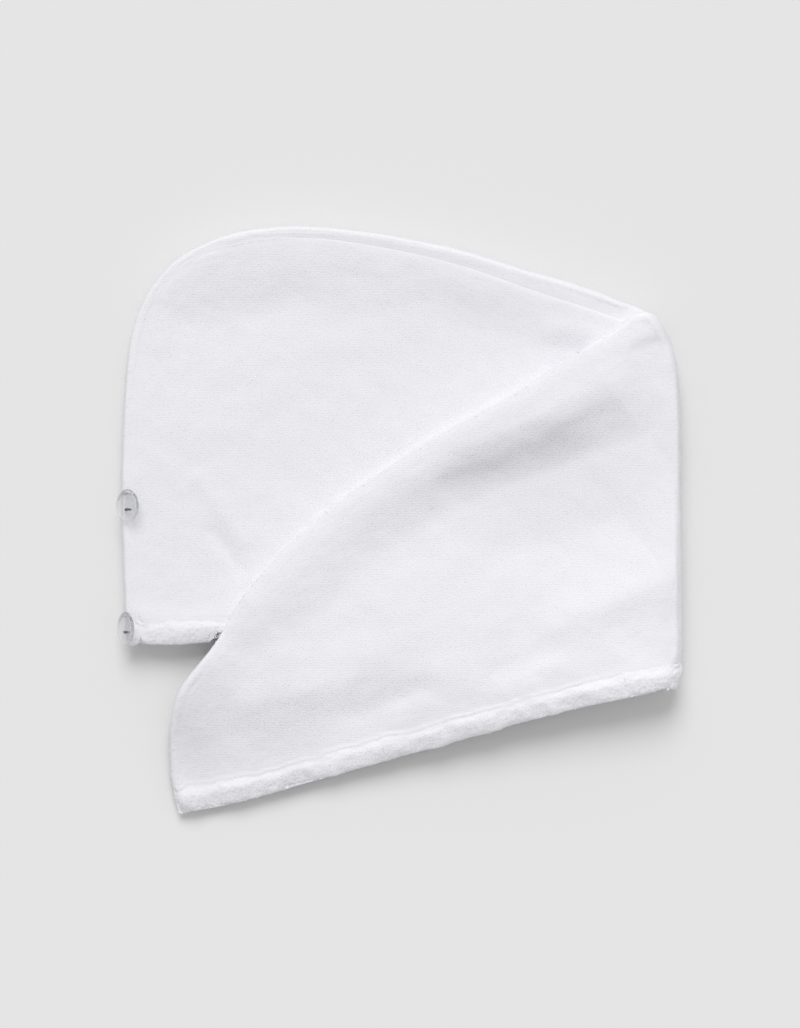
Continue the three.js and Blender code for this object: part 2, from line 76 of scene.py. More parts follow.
# Where the middle of the picture lies from that corner, and the picture's height in pixels
PHOTO_MIDDLE = np.array((164.4, 77.4)) * MM
PHOTO_HEIGHT = 1028

# How far a panel's seam slides into its neighbour, and how far its front edge rises with it
SEAM_LAP = 2.2 * MM
FRONT_EDGE_RISE = 1.2 * MM

# How much of the height that is missing at a rounded outer edge the fluff makes up
EDGE_FULLNESS = 0.8

# The fold where the tail turns over the hood, from its low end to the top corner, in millimetres: where its
# crest runs from the hood's corner (x, y), how high the crest stands over the floor (top), how far past it
# the cloth falls most steeply (steep), how wide that fall is (fall), how high the basin after it lies (basin),
# where the basin starts to climb (climb) and ends (end), and how much of all this holds (hold).
RIDGE_SIZES = ("x", "y", "top", "steep", "fall", "basin", "climb", "end", "hold")
RIDGE = [dict(zip(RIDGE_SIZES, row)) for row in (
    (64.4, 0.3, 28.6, 8, 22, 26.0, 20, 46, 0.6),
    (76.2, 23.4, 31.4, 15, 28, 26.9, 34, 76, 1),
    (97.2, 47.4, 31.9, 21, 34, 27.2, 40, 90, 1),
    (126, 73.8, 31.8, 18, 34, 26.8, 38, 95, 1),
    (163.2, 100.2, 32.6, 19, 34, 24.8, 44, 110, 1),
    (197.4, 121.2, 33.8, 21, 35, 22.6, 64, 130, 1),
    (242.4, 145.2, 34.6, 28, 37, 21.7, 84, 146, 1),
    (276.6, 168.6, 32.6, 35, 46, 24.2, 70, 120, 1),
    (296.4, 178.8, 30.8, 24, 40, 27.6, 46, 70, 0.8),
    (317.4, 195, 29.0, 20, 30, 27.6, 30, 50, 0),
)]

# How far the tail hangs down past the hood's opening, by its distance from the hood's corner, in millimetres
DROOP_PLACES = (40, 110, 200, 290, 330)
DROOP_DEPTHS = (6, 6, 5, 3, 0)

# Folds of the cloth that are finer than the solids'. Each is a soft bank from (x1, y1) to (x2, y2), and a dip
# where its rise is negative.
HOOD_WRINKLES = [
    {"x1": 44.4, "y1": 98.3, "x2": 70.4, "y2": 62.3, "width": 5, "rise": 0.8},
    {"x1": 52.4, "y1": 66.3, "x2": 69.4, "y2": 44.3, "width": 4, "rise": -0.8},
    {"x1": 38.4, "y1": 190.3, "x2": 102.4, "y2": 204.3, "width": 13, "rise": -1.2},
    {"x1": 182.4, "y1": 202.3, "x2": 266.4, "y2": 172.3, "width": 11, "rise": -0.8},
    {"x1": 28.4, "y1": 214.3, "x2": 50.4, "y2": 232.3, "width": 9, "rise": 0.7},
    {"x1": 250.4, "y1": 186.3, "x2": 288.4, "y2": 182.3, "width": 7, "rise": 0.9},
    {"x1": 102.4, "y1": 170.3, "x2": 172.4, "y2": 186.3, "width": 10, "rise": 0.4},
    {"x1": 32.4, "y1": 134.3, "x2": 92.4, "y2": 118.3, "width": 10, "rise": 0.4},
    {"x1": 142.4, "y1": 114.3, "x2": 212.4, "y2": 158.3, "width": 8, "rise": 0.5},
    {"x1": 32.4, "y1": 10.3, "x2": 78.4, "y2": 14.3, "width": 6, "rise": 0.5},
]
TAIL_WRINKLES = [
    {"x1": 256.4, "y1": 12.3, "x2": 322.4, "y2": 40.3, "width": 9, "rise": 1.0},
    {"x1": 224.4, "y1": -15.7, "x2": 258.4, "y2": -1.7, "width": 7, "rise": -0.8},
    {"x1": 138.4, "y1": -41.7, "x2": 176.4, "y2": -25.7, "width": 7, "rise": -0.9},
    {"x1": 303.0, "y1": 175.3, "x2": 315.6, "y2": 179.6, "width": 3, "rise": -0.5},
    {"x1": 142.4, "y1": 24.3, "x2": 222.4, "y2": 64.3, "width": 11, "rise": 0.5},
    {"x1": 72.4, "y1": -37.7, "x2": 132.4, "y2": -21.7, "width": 7, "rise": 0.5},
    {"x1": 222.4, "y1": 54.3, "x2": 292.4, "y2": 74.3, "width": 10, "rise": -0.4},
]

# Painted light and shade: places where the terry's colour is made paler, or darker where the rise is negative,
# to stand in for light and shade on the cloth
PAINTED_SHADING_PATCHES = [
    {"x1": 28.4, "y1": -44, "x2": 44.4, "y2": -66, "width": 16, "rise": -0.4},
    {"x1": 130, "y1": -34, "x2": 300, "y2": -6, "width": 24, "rise": 0.3},
    {"x1": 80, "y1": -34, "x2": 130, "y2": -34, "width": 16, "rise": 0.2},
    {"x1": 205, "y1": 100, "x2": 258, "y2": 119, "width": 14, "rise": -0.3},
    {"x1": 258, "y1": 119, "x2": 290, "y2": 138, "width": 12, "rise": -0.2},
    {"x1": 222, "y1": 78, "x2": 280, "y2": 96, "width": 24, "rise": -0.2},
    {"x1": 303, "y1": 175, "x2": 316, "y2": 180, "width": 4, "rise": -0.3},
    {"x1": 318, "y1": 184, "x2": 326, "y2": 188, "width": 7, "rise": -0.45},
]


class TurbanClothSettings(bpy.types.PropertyGroup):
    """Sizes and colours of the terry."""

    terry_colour: FloatVectorProperty(
        name="Terry", description="Colour of the terry's loops", subtype="COLOR",
        default=(0.84, 0.837, 0.868))
    # Painted shade: the terry is coloured darker between its loops, where shade falls among them
    shade_between_loops_colour: FloatVectorProperty(
        name="Between loops", description="Colour deep between the loops", subtype="COLOR",
        default=(0.775, 0.775, 0.812))
    loop_size: FloatProperty(
        name="Loop", description="Size of one loop", unit="LENGTH", default=1.1 * MM)
    pile_spacing: FloatProperty(
        name="Pile spacing", description="Least distance between two standing loops", unit="LENGTH",
        default=1.4 * MM)
    hem_spacing: FloatProperty(
        name="Hem pile spacing", description="Least distance between loops on a hem", unit="LENGTH",
        default=1.2 * MM)
    lumps: FloatVectorProperty(
        name="Lumps", description="Heights of the cloth's lumps in millimetres, from broad to small", size=4,
        default=(0.6, 0.34, 0.16, 0.1))
    hem_lumps: FloatVectorProperty(
        name="Hem lumps", description="Heights of the hems' lumps in millimetres, from broad to small",
        size=4, default=(0.8, 1.1, 0.6, 0.25))
    hem_rise: FloatProperty(
        name="Hem rise", description="How far a hem stands over its panel", unit="LENGTH", default=1.2 * MM)
    hem_growth: FloatProperty(
        name="Hem growth", description="How far a hem's fluff reaches past the solid", unit="LENGTH",
        default=1.8 * MM)
    # Painted light: the tail's upper layers are coloured paler by this share
    tail_painted_light: FloatProperty(
        name="Tail's nap", description="How far the tail's pile is brushed towards the light", default=0.12)
    seed: IntProperty(name="Seed", description="Start of the scatter of loops", default=7)


class TurbanButtonSettings(bpy.types.PropertyGroup):
    """Sizes and colours of the buttons and their thread."""

    resin_colour: FloatVectorProperty(
        name="Resin", description="Colour of the clear resin", subtype="COLOR", default=(0.7, 0.705, 0.725))
    # Painted shade: the thread is coloured near black so that it also stands in for the shade in the button's
    # holes
    thread_and_hole_shade_colour: FloatVectorProperty(
        name="Thread", description="Colour of the sewing thread", subtype="COLOR",
        default=(0.085, 0.083, 0.09))
    hole: FloatProperty(name="Hole", description="Diameter of a hole", unit="LENGTH", default=2.0 * MM)
    hole_shift: FloatProperty(
        name="Hole shift", description="How far the holes lie off the button's middle", unit="LENGTH",
        default=2.0 * MM)
    hole_spacing: FloatProperty(
        name="Hole spacing", description="Distance between the two holes", unit="LENGTH", default=4.6 * MM)


class TurbanStageSettings(bpy.types.PropertyGroup):
    """The floor, the light and the camera."""

    floor_colour: FloatVectorProperty(
        name="Floor", description="Colour of the plain floor", subtype="COLOR", default=(0.782, 0.782, 0.782))
    key_share: FloatProperty(
        name="Key light", description="Share of the light that comes from the soft key", default=0.41)
    key_height: FloatProperty(
        name="Key height", description="Angle of the key light above the floor", subtype="ANGLE",
        default=math.radians(47))
    key_side: FloatProperty(
        name="Key side", description="Turn of the key light from +Y towards the left", subtype="ANGLE",
        default=math.radians(3))
    key_size: FloatProperty(
        name="Key size", description="Angle that the key light fills", subtype="ANGLE",
        default=math.radians(34))
    photo_scale: FloatProperty(
        name="Photo scale", description="Size on the floor of one pixel of the photograph", unit="LENGTH",
        default=0.6 * MM)
    camera_height: FloatProperty(
        name="Camera height", description="Height of the camera over the floor", unit="LENGTH", default=2.2)


class Wire:
    """A node's output that maths can be written with. An expression adds its Math nodes."""

    def __init__(self, tree, socket):
        self.tree = tree
        self.socket = socket

    def maths(self, operation, *values):
        return self.tree.node("ShaderNodeMath", {"operation": operation}, dict(enumerate(values)))

    def __add__(self, other):
        return self.maths("ADD", self, other)

    def __radd__(self, other):
        return self.maths("ADD", other, self)

    def __sub__(self, other):
        return self.maths("SUBTRACT", self, other)

    def __rsub__(self, other):
        return self.maths("SUBTRACT", other, self)

    def __mul__(self, other):
        return self.maths("MULTIPLY", self, other)

    def __rmul__(self, other):
        return self.maths("MULTIPLY", other, self)


class Tree:
    """A node tree that is built by one method."""

    def __init__(self, nodes):
        self.nodes = nodes

    def node(self, kind, settings=None, inputs=None, output=0):
        """Adds a node of a kind, sets it up, fills its sockets, and gives one of its outputs."""
        added = self.nodes.nodes.new(kind)
        for name, value in (settings or {}).items():
            setattr(added, name, value)
        for name, value in (inputs or {}).items():
            socket = added.inputs[name]
            if isinstance(value, Wire):
                self.nodes.links.new(value.socket, socket)
            else:
                socket.default_value = value
        return Wire(self, added.outputs[output]) if len(added.outputs) else added


def new_material(name, display):
    """A material with an empty node tree, and that tree."""
    material = bpy.data.materials.new(name)
    material.use_nodes = True
    material.node_tree.nodes.clear()
    material.diffuse_color = (*display, 1)
    return material, Tree(material.node_tree)


def close_material(tree, inputs):
    """Adds the shader with its inputs and the output."""
    shader = tree.node("ShaderNodeBsdfPrincipled", {}, inputs)
    tree.node("ShaderNodeOutputMaterial", {}, {"Surface": shader})


def mixed(tree, share, low, high):
    """A colour between two colours."""
    return tree.node("ShaderNodeMix", {"data_type": "RGBA"}, {"Factor": share, "A": low, "B": high}, 2)


def colour(values):
    return (*values, 1)


def terry_material(name, cloth, fluff, rows):
    """White looped terry: loops in faint rows, with soft patches where the pile lies flatter, painted shade
    between the loops, and painted light and shade from a point attribute.
    """
    material, tree = new_material(name, cloth.terry_colour)
    place = tree.node("ShaderNodeTexCoord", {}, {}, "Object")
    fine = 1 / cloth.loop_size
    loops = tree.node("ShaderNodeTexVoronoi", {"feature": "F1"}, {"Vector": place, "Scale": fine}, "Distance")
    strands = tree.node(
        "ShaderNodeTexNoise", {}, {"Vector": place, "Scale": fine * 1.7, "Detail": 3.0, "Roughness": 0.65})
    patches = tree.node(
        "ShaderNodeTexNoise", {}, {"Vector": place, "Scale": 65.0, "Detail": 3.0, "Roughness": 0.55})
    weave = 0.0
    for direction, pitch in (("X", 1.25), ("Y", 1.5)):
        weave = weave + tree.node(
            "ShaderNodeTexWave", {"bands_direction": direction},
            {"Vector": place, "Scale": 2 * math.pi / (20 * pitch * MM), "Distortion": 2.5, "Detail": 2.0,
             "Detail Scale": 2.0}, "Fac") * (0.5 * rows)
    cover = 1 - loops * 0.9
    height = cover * 0.5 + strands * 0.6 + weave
    share = cover * 0.4 + strands * 0.35 + patches * 0.35 + weave * 0.6
    level = tree.node(
        "ShaderNodeMapRange", {"clamp": True},
        {"Value": share, "From Min": 0.25, "From Max": 0.8 + 0.3 * rows})
    # Painted shade between the loops, mixed with random tone from the strands, patches and weave
    loops_with_painted_shade = mixed(tree, level, colour(cloth.shade_between_loops_colour), colour(cloth.terry_colour))
    # Painted light and shade: the colour is made paler or darker by the point attribute written on the cloth
    nap = tree.node("ShaderNodeAttribute", {"attribute_name": "nap"}, {}, "Fac")
    colours = tree.node(
        "ShaderNodeMix", {"data_type": "RGBA", "blend_type": "MULTIPLY"},
        {"Factor": 1.0, "A": loops_with_painted_shade, "B": 1 + nap * 0.2}, 2)
    bump = tree.node("ShaderNodeBump", {}, {"Strength": 0.35, "Distance": fluff, "Height": height})
    close_material(tree, {
        "Base Color": colours,
        "Roughness": 0.95,
        "Normal": bump,
        "Specular IOR Level": 0.15,
        "Sheen Weight": 0.12,
        "Sheen Roughness": 0.6,
    })
    return material


def resin_material(buttons):
    """Clear polished resin: pale and streaky inside, with painted shade in darker arcs and streaks, heaviest
    towards the top and right, that stand in for light its rim bends.
    """
    material, tree = new_material("clear_resin", buttons.resin_colour)
    face = tree.node("ShaderNodeAttribute", {"attribute_name": "face"}, {}, "Vector")
    radius = tree.node("ShaderNodeVectorMath", {"operation": "LENGTH"}, {0: face}, "Value")
    toward = tree.node(
        "ShaderNodeVectorMath", {"operation": "DOT_PRODUCT"}, {0: face, 1: (0.05, 0.085, 0)}, "Value")
    shaded = tree.node(
        "ShaderNodeMapRange", {"clamp": True}, {"Value": toward, "From Min": -0.6, "From Max": 0.8})
    streaks = tree.node("ShaderNodeTexNoise", {}, {"Vector": face, "Scale": 0.4, "Detail": 3.0})
    stretched = tree.node("ShaderNodeMapping", {}, {"Vector": face, "Scale": (1.2, 0.2, 1.0)})
    lines = tree.node("ShaderNodeTexNoise", {}, {"Vector": stretched, "Scale": 1.0, "Detail": 2.0})
    inner_rim = 7.7
    outer_rim = 9.8
    inner = 1 - radius.maths("ABSOLUTE", radius - inner_rim) * 1.3
    outer = 1 - radius.maths("ABSOLUTE", radius - outer_rim) * 1.6
    arcs = inner.maths("MAXIMUM", inner, outer)
    rim = arcs.maths("MAXIMUM", arcs, 0.0)
    # Painted shade: dark arcs along the rims and streaks, stronger towards the top and right, stand in for
    # light the resin bends; they also make the resin less clear
    painted_arc_shade = tree.node(
        "ShaderNodeMapRange", {"clamp": True},
        {"Value": rim * streaks * (shaded * 1.5 + 0.15) + lines * (shaded * 0.5 + 0.35), "From Min": 0.25,
         "From Max": 1.3})
    resin_with_painted_arcs = mixed(tree, painted_arc_shade, colour(buttons.resin_colour), (0.17, 0.175, 0.185, 1))
    close_material(tree, {
        "Base Color": resin_with_painted_arcs,
        "Roughness": streaks * 0.08 + 0.04,
        "Alpha": painted_arc_shade * 0.45 + 0.22,
        "IOR": 1.5,
        "Coat Weight": 0.4,
        "Coat Roughness": 0.05,
    })
    return material


def thread_material(buttons):
    """Twisted sewing thread, coloured near black so that it also stands in for the shade in the button's
    holes.
    """
    material, tree = new_material("sewing_thread", buttons.thread_and_hole_shade_colour)
    place = tree.node("ShaderNodeTexCoord", {}, {}, "Object")
    twist = tree.node(
        "ShaderNodeTexWave", {"bands_direction": "DIAGONAL"},
        {"Vector": place, "Scale": 700.0, "Distortion": 1.0}, "Fac")
    light = tuple(min(1.0, 2.1 * value) for value in buttons.thread_and_hole_shade_colour)
    colours = mixed(tree, twist, colour(buttons.thread_and_hole_shade_colour), colour(light))
    bump = tree.node("ShaderNodeBump", {}, {"Strength": 0.5, "Distance": 0.1 * MM, "Height": twist})
    close_material(tree, {"Base Color": colours, "Roughness": 0.8, "Normal": bump, "Sheen Weight": 0.2})
    return material


def elastic_material(cloth):
    """Braided cover of a thin elastic cord."""
    material, tree = new_material("elastic_cover", cloth.terry_colour)
    place = tree.node("ShaderNodeTexCoord", {}, {}, "Object")
    braid = tree.node(
        "ShaderNodeTexWave", {"bands_direction": "DIAGONAL"},
        {"Vector": place, "Scale": 420.0, "Distortion": 0.6}, "Fac")
    colours = mixed(tree, braid, (0.62, 0.62, 0.64, 1), (0.86, 0.86, 0.87, 1))
    bump = tree.node("ShaderNodeBump", {}, {"Strength": 0.6, "Distance": 0.2 * MM, "Height": braid})
    close_material(tree, {"Base Color": colours, "Roughness": 0.7, "Normal": bump, "Sheen Weight": 0.2})
    return material


def floor_material(stage):
    """Plain pale floor with the least unevenness."""
    material, tree = new_material("plain_floor", stage.floor_colour)
    place = tree.node("ShaderNodeTexCoord", {}, {}, "Object")
    grain = tree.node("ShaderNodeTexNoise", {}, {"Vector": place, "Scale": 300.0, "Detail": 2.0})
    close_material(tree, {
        "Base Color": colour(stage.floor_colour),
        "Roughness": grain * 0.05 + 0.9,
        "Specular IOR Level": 0.0,
    })
    return material


def link(name, mesh):
    piece = bpy.data.objects.new(name, mesh)
    bpy.context.scene.collection.objects.link(piece)
    return piece


def settle(piece):
    """Applies a piece's modifiers to its mesh."""
    graph = bpy.context.evaluated_depsgraph_get()
    done = bpy.data.meshes.new_from_object(piece.evaluated_get(graph))
    done.name = piece.name
    piece.modifiers.clear()
    piece.data = done


def smooth(mesh):
    mesh.polygons.foreach_set("use_smooth", [True] * len(mesh.polygons))


def dress(piece, material):
    piece.data.materials.clear()
    piece.data.materials.append(material)
    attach(piece, BODY)


def node_bmesh(node):
    """The merged shape of a CAD node, in four-sided faces where two triangles make one."""
    shape = bmesh.new()
    shape.from_mesh(frame["nodes"][node].data)
    bmesh.ops.remove_doubles(shape, verts=shape.verts, dist=0.002 * MM)
    bmesh.ops.join_triangles(
        shape, faces=shape.faces, angle_face_threshold=math.radians(50),
        angle_shape_threshold=math.radians(80))
    return shape


def sky_rays():
    """Directions over the upper half of the sky."""
    rays = [Vector((0, 0, 1))]
    for rise, count in ((60, 6), (18, 8)):
        for step in range(count):
            turn = 2 * math.pi * step / count
            flat = math.cos(math.radians(rise))
            rays.append(Vector((flat * math.cos(turn), flat * math.sin(turn), math.sin(math.radians(rise)))))
    return rays


CLOTH_NODES = ("front_panel", "back_panel", "front_hem", "back_hem")


def cloth_tree(nodes):
    """A search tree over some of the cloth nodes."""
    return mesh_tree([frame["nodes"][node].data for node in nodes])


def reach_into(shape, node, reach, lift):
    """Slides each edge that faces a neighbouring cloth into it, so that no slit is left at a seam."""
    shape.normal_update()
    moves = {}
    for other in CLOTH_NODES:
        if other == node:
            continue
        tree = cloth_tree([other])
        for vert in shape.verts:
            nearest = tree.find_nearest(vert.co, 1.4 * MM)[0]
            if nearest is None:
                continue
            toward = nearest - vert.co
            level = Vector((toward.x, toward.y, 0))
            if level.length > 0.7 * toward.length and vert.normal.dot(toward) > 0:
                raised = lift if vert.normal.z > 0 else 0.0
                moves[vert] = moves.get(vert, Vector()) + level.normalized() * reach + Vector((0, 0, raised))
    for vert, move in moves.items():
        vert.co += move


def mark_open_cloth(mesh, tree):
    """Writes into the attribute pile how open to the sky each point of the cloth is."""
    layer = mesh.attributes.new("pile", "FLOAT", "POINT")
    rays = sky_rays()
    start = 0.7 * MM
    values = []
    for vert in mesh.vertices:
        normal = vert.normal
        free = 0
        if vert.co.z > 1.5 * MM:
            for ray in rays:
                if ray.dot(normal) > 0.1 and tree.ray_cast(vert.co + start * normal, ray, 0.1)[0] is None:
                    free += 1
        values.append(min(1.0, free / 3))
    layer.data.foreach_set("value", values)


def eased(values):
    """A smooth step from 0 to 1."""
    held = np.clip(values, 0, 1)
    return held * held * (3 - 2 * held)


def beside_ridge(places):
    """For each place, in metres: how far it lies past the fold's crest, and the fold's sizes there."""
    route = np.array([HOOD_CORNER + np.array((row["x"], row["y"])) * MM for row in RIDGE])
    best = np.full(len(places), np.inf)
    past = np.zeros(len(places))
    for number, (start, stop) in enumerate(zip(route, route[1:])):
        run = stop - start
        length = np.hypot(*run)
        raw = (places - start) @ run / length ** 2
        away = places - start - np.clip(raw, 0, 1)[:, None] * run
        distance = np.hypot(away[:, 0], away[:, 1])
        across = (run[1] * (places - start)[:, 0] - run[0] * (places - start)[:, 1]) / length
        signed = np.where((raw < 0) & (number == 0), across, np.sign(across) * distance)
        nearer = distance < best
        best[nearer] = distance[nearer]
        past[nearer] = signed[nearer]
    chord = (route[-1] - route[0]) / np.hypot(*(route[-1] - route[0]))
    stations = (route - route[0]) @ chord
    along = (places - route[0]) @ chord
    sizes = {name: np.interp(along, stations, [row[name] for row in RIDGE]) for name in RIDGE[0]}
    sizes["hold"] *= eased(1 + along / (30 * MM))
    return past, {name: values if name == "hold" else values * MM for name, values in sizes.items()}


# Rays that find the cloth's upper side start at this height and go down
SKY = 0.1
DOWN = Vector((0, 0, -1))


def mesh_tree(meshes):
    """A search tree over some meshes."""
    whole = bmesh.new()
    for mesh in meshes:
        whole.from_mesh(mesh)
    tree = BVHTree.FromBMesh(whole)
    whole.free()
    return tree


def tops_of(mesh):
    """For each point of a mesh, the height of the mesh's upper face over that place."""
    tree = mesh_tree([mesh])
    tops = []
    for vert in mesh.vertices:
        hit = tree.ray_cast(Vector((vert.co.x, vert.co.y, SKY)), DOWN)[0]
        tops.append(vert.co.z if hit is None else hit.z)
    return np.array(tops)


def tail_lift(places, tops):
    """Brings the folded tail's upper side to the fold's heights: a full crest, a fall and a broad basin."""
    past, sizes = beside_ridge(places[:, :2])
    crest = sizes["top"] - 0.9 * MM * (np.minimum(past, 0) / (7 * MM)) ** 2
    fallen = eased((past - sizes["steep"] + sizes["fall"] / 2) / sizes["fall"])
    goal = crest + (sizes["basin"] - sizes["top"]) * fallen
    zone = eased((sizes["end"] - past) / (sizes["end"] - sizes["climb"])) * eased((past + 22 * MM) / (8 * MM))
    upper = eased((places[:, 2] - 19 * MM) / (5 * MM))
    return upper * zone * sizes["hold"] * (goal - tops)


def droop(places):
    """How far the tail hangs down past the hood's opening, where nothing lies under it."""
    spot = (places[:, :2] - HOOD_CORNER) / MM
    depth = np.interp(spot[:, 0], DROOP_PLACES, DROOP_DEPTHS)
    layer = eased((places[:, 2] - 4 * MM) / (9 * MM))
    return -depth * MM * eased((-5 - spot[:, 1]) / 60) * layer


def hood_lift(places, tops):
    """How far the hood stands above the solid: it climbs towards the fold that lies on it."""
    past, sizes = beside_ridge(places[:, :2])
    climb = np.where(past < 0, np.exp(-(past / (30 * MM)) ** 2), eased(1 - past / (8 * MM)))
    upper = eased((places[:, 2] - 8 * MM) / (3 * MM))
    return upper * climb * 0.22 * np.maximum(0, sizes["top"] - 26 * MM) * sizes["hold"]


def bank_lift(banks, places):
    """The height that a table of soft banks adds at each place."""
    lift = np.zeros(len(places))
    for bank in banks:
        start = HOOD_CORNER + np.array((bank["x1"], bank["y1"])) * MM
        run = HOOD_CORNER + np.array((bank["x2"], bank["y2"])) * MM - start
        share = np.clip((places[:, :2] - start) @ run / (run @ run), 0, 1)
        away = places[:, :2] - start - share[:, None] * run
        lift += bank["rise"] * MM * np.exp(-(away ** 2).sum(axis=1) / (bank["width"] * MM) ** 2)
    return lift


def points_of(mesh):
    flat = np.empty(len(mesh.vertices) * 3, dtype=np.float32)
    mesh.vertices.foreach_get("co", flat)
    return flat.reshape(-1, 3).astype(float)


def lift_cloth(mesh, lifts):
    """Raises each point of a mesh by its own height."""
    places = points_of(mesh)
    places[:, 2] += lifts
    mesh.vertices.foreach_set("co", places.astype(np.float32).ravel())
    mesh.update()


def lumps_at(point, heights):
    """Soft uneven lumps of folded terry, from broad swells to small clumps of loops."""
    move = 0.0
    for number, (scale, height) in enumerate(zip((22, 70, 160, 480), heights)):
        move += noise.noise(point * scale + Vector((7, 3, 1)) * number) * height * MM
    return move


def roughen(mesh, heights):
    """Moves the cloth's open side in and out by its lumps."""
    openness = mesh.attributes["pile"].data
    normals = [vert.normal.copy() for vert in mesh.vertices]
    for vert, normal, share in zip(mesh.vertices, normals, openness):
        if share.value > 0.01:
            vert.co += normal * (lumps_at(vert.co, heights) * share.value)
    mesh.update()


def heights_around(tree, places, reach, count):
    """The cloth's upper heights on a ring around each place, one row for each direction."""
    rows = np.zeros((count, len(places)))
    for step in range(count):
        turn = 2 * math.pi * step / count
        aside = (reach * math.cos(turn), reach * math.sin(turn))
        for number, place in enumerate(places):
            over = Vector((place[0] + aside[0], place[1] + aside[1], SKY))
            hit = tree.ray_cast(over, DOWN)[0]
            rows[step, number] = 0.0 if hit is None else hit.z
    return rows


def evened(mesh, values, rounds):
    """Values that are averaged with their neighbours' over the mesh."""
    ends = np.empty(len(mesh.edges) * 2, dtype=np.int32)
    mesh.edges.foreach_get("vertices", ends)
    ends = ends.reshape(-1, 2)
    for _ in range(rounds):
        total = np.zeros(len(values))
        count = np.zeros(len(values))
        for here, there in (ends.T, ends.T[::-1]):
            np.add.at(total, here, values[there])
            np.add.at(count, here, 1)
        values = (values + total / np.maximum(count, 1)) / 2
    return values


def mark_shoulders(mesh, tree, share):
    """Writes into the attribute shoulder how far a rounded outer edge rises to be fuller."""
    layer = mesh.attributes.new("shoulder", "FLOAT", "POINT")
    places = points_of(mesh)
    lifts = np.zeros(len(places))
    if share > 0:
        open_points = np.flatnonzero(values_of(mesh, "pile") > 0.05)
        around = heights_around(tree, places[open_points], 6 * MM, 16)
        highest = around.max(axis=0)
        missing = np.maximum(0, highest - places[open_points, 2])
        lower = (around < highest - 8 * MM).mean(axis=0)
        upper = eased((6 * MM - missing) / (4 * MM))
        lifts[open_points] = share * missing * eased(lower / 0.3) * upper
    layer.data.foreach_set("value", evened(mesh, lifts, 3).astype(np.float32))


def close_seams(pieces):
    """Fills the narrow grooves where two cloths meet, and bares their pile there.

    Along the crown, where the seam shows, less is filled."""
    trees = [mesh_tree([piece.data]) for piece in pieces]
    whole = mesh_tree([piece.data for piece in pieces])
    moves = []
    for piece, own in zip(pieces, trees):
        places = points_of(piece.data)
        openness = values_of(piece.data, "pile")
        others = [tree for tree in trees if tree is not own]
        near = np.array([
            min((tree.find_nearest(Vector(place))[3] for tree in others)) if share > 0.05 else 1.0
            for place, share in zip(places, openness)])
        level = np.array([vert.normal.z > 0.3 for vert in piece.data.vertices])
        beside = np.flatnonzero((near < 3.5 * MM) & level)
        bare = openness * eased((near - 1.4 * MM) / (1.6 * MM))
        piece.data.attributes["pile"].data.foreach_set("value", bare.astype(np.float32))
        around = heights_around(whole, places[beside], 2.8 * MM, 12)
        filled = np.minimum(around[:6], around[6:]).max(axis=0)
        spot = (places[beside, :2] - HOOD_CORNER) / MM
        sides = eased((spot[:, 0] - 90) / 15) * eased((300 - spot[:, 0]) / 15)
        crown = eased((spot[:, 1] - 150) / 20) * sides
        lifts = np.zeros(len(places))
        lifts[beside] = np.clip(filled - places[beside, 2], 0, 2.5 * MM) * (1 - 0.6 * crown)
        moves.append(evened(piece.data, lifts, 2))
    for piece, lifts in zip(pieces, moves):
        lift_cloth(piece.data, lifts)


def raise_hem(mesh, panel, cloth):
    """Raises a hem most along its middle, and lets its outer side reach a little further out."""
    tree = cloth_tree([panel])
    openness = values_of(mesh, "pile")
    for vert, share in zip(mesh.vertices, openness):
        away = vert.co - tree.find_nearest(vert.co)[0]
        away.z = 0
        outer = eased((away.length - 6 * MM) / (7 * MM))
        middle = float(eased(away.length / (6 * MM)) * (1 - 0.75 * outer))
        vert.co.z += share * cloth.hem_rise * middle
        if away.length > 5 * MM:
            growth = float(eased((away.length - 5 * MM) / (7 * MM)))
            vert.co += away.normalized() * cloth.hem_growth * growth
    mesh.update()


def refine_open_side(mesh, cuts):
    """Cuts the faces that show into smaller ones."""
    shape = bmesh.new()
    shape.from_mesh(mesh)
    layer = shape.verts.layers.float["pile"]
    edges = {
        edge for face in shape.faces
        if sum(vert[layer] for vert in face.verts) > 0.4 * len(face.verts)
        for edge in face.edges}
    bmesh.ops.subdivide_edges(
        shape, edges=sorted(edges, key=lambda edge: edge.index), cuts=cuts, use_grid_fill=True, smooth=0.0)
    shape.to_mesh(mesh)
    shape.free()


def cloth_piece(name, node, cuts, lift_at, banks, heights, lip):
    """A cloth piece from its CAD node: closed at its seams, rounded, folded and lumpy."""
    shape = node_bmesh(node)
    reach_into(shape, node, SEAM_LAP, lip)
    mesh = bpy.data.meshes.new(name)
    shape.to_mesh(mesh)
    shape.free()
    piece = link(name, mesh)
    rounding = piece.modifiers.new("rounding", "SUBSURF")
    rounding.levels = 2
    rounding.render_levels = 2
    settle(piece)
    whole = cloth_tree(CLOTH_NODES)
    is_hem = node.endswith("hem")
    mark_open_cloth(piece.data, whole)
    mark_shoulders(piece.data, whole, 0.0 if is_hem else EDGE_FULLNESS)
    refine_open_side(piece.data, cuts)
    openness = values_of(piece.data, "pile")
    lift_cloth(piece.data, values_of(piece.data, "shoulder"))
    if is_hem:
        raise_hem(piece.data, node.replace("hem", "panel"), bpy.context.scene.turban_cloth)
    places = points_of(piece.data)
    lifts = lift_at(places, tops_of(piece.data)) + openness * bank_lift(banks, places) + droop(places)
    lift_cloth(piece.data, lifts)
    roughen(piece.data, heights)
    # Painted light and shade on the terry's colour
    mark_painted_shading(piece.data)
    smooth(piece.data)
    return piece


def values_of(mesh, name):
    """The values of one of a mesh's point attributes."""
    values = np.empty(len(mesh.vertices), dtype=np.float32)
    mesh.attributes[name].data.foreach_get("value", values)
    return values.astype(float)


